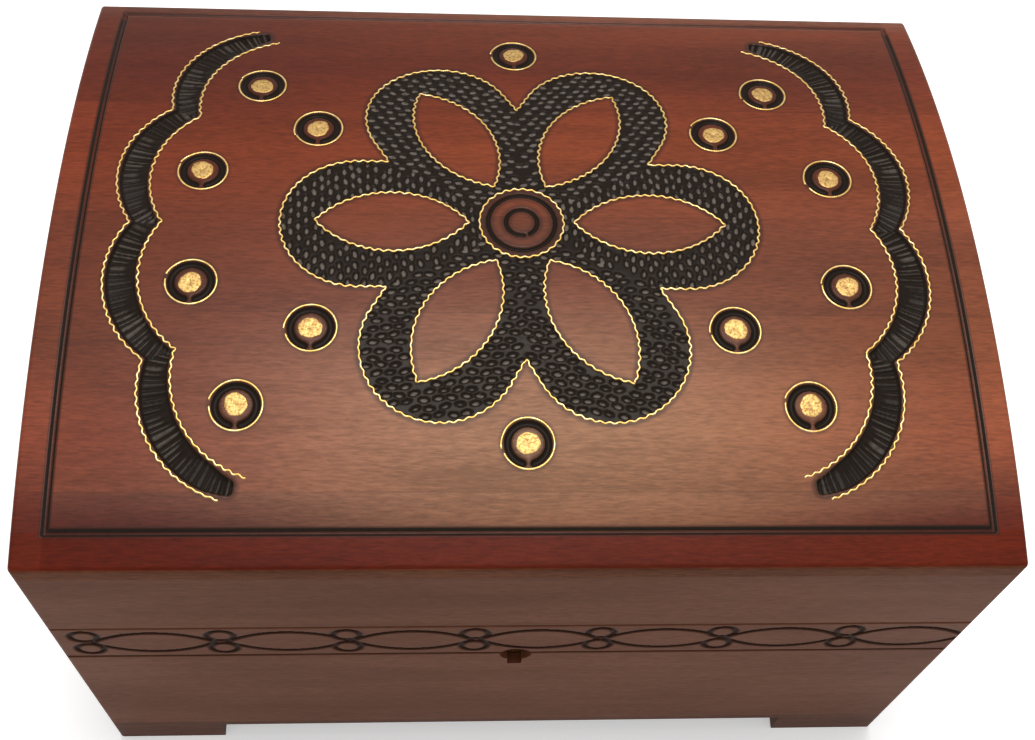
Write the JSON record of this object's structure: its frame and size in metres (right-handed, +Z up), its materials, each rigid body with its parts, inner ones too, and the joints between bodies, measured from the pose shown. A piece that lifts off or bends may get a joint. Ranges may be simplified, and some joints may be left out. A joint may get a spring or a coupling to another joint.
{
  "type": "jewelry box",
  "caption": "Footed wooden jewelry box with a hinged, gently domed lid carved with a rosette and scalloped bands, and a key lock in the front.",
  "frame": {"origin": "middle of the floor under the feet", "axes": "+Z up, +X to the right along the width, the keyhole side faces -Y and the hinges are at +Y"},
  "size_m": [0.29, 0.214, 0.1807],
  "materials": {
    "stained_wood": "satin mahogany stain",
    "carved_wood": "satin mahogany stain, carving blackened",
    "base_wood": "dark stain",
    "felt": "short pile",
    "brass": "satin",
    "screw_brass": "polished",
    "steel": "drawn"
  },
  "bodies": {
    "case": {"front_wall": "stained_wood", "back_wall": "stained_wood", "left_wall": "stained_wood", "right_wall": "stained_wood", "base_panel": "base_wood", "foot_front_left": "stained_wood", "foot_front_right": "stained_wood", "foot_back_left": "stained_wood", "foot_back_right": "stained_wood", "floor_lining": "felt", "lock_plate": "brass", "lock_case": "brass", "key_post": "steel", "lock_spring": "steel", "lock_screws": "screw_brass", "hinge_left_case_leaf": "brass", "hinge_right_case_leaf": "brass", "hinge_left_pin": "steel", "hinge_right_pin": "steel", "hinge_case_screws": "screw_brass"},
    "lid": {"lid_front_rail": "stained_wood", "lid_back_rail": "stained_wood", "lid_left_rail": "stained_wood", "lid_right_rail": "stained_wood", "lid_board_1": "carved_wood", "lid_board_2": "carved_wood", "lid_board_3": "carved_wood", "lid_board_4": "carved_wood", "lid_board_5": "carved_wood", "strike_plate": "brass", "strike_screws": "screw_brass", "hinge_left_lid_leaf": "brass", "hinge_right_lid_leaf": "brass", "hinge_lid_screws": "screw_brass"},
    "lock_bolt": {"lock_bolt": "steel"}
  },
  "joints": [
    {"name": "lid_hinge", "type": "hinge", "parent": "case", "child": "lid", "pos_m": [0, 0.1034, 0.1192], "axis": [-1, 0, 0], "range_deg": [0, 97]},
    {"name": "bolt_slide", "type": "slide", "parent": "case", "child": "lock_bolt", "axis": [1, 0, 0], "range_m": [0, 0.005]}
  ]
}
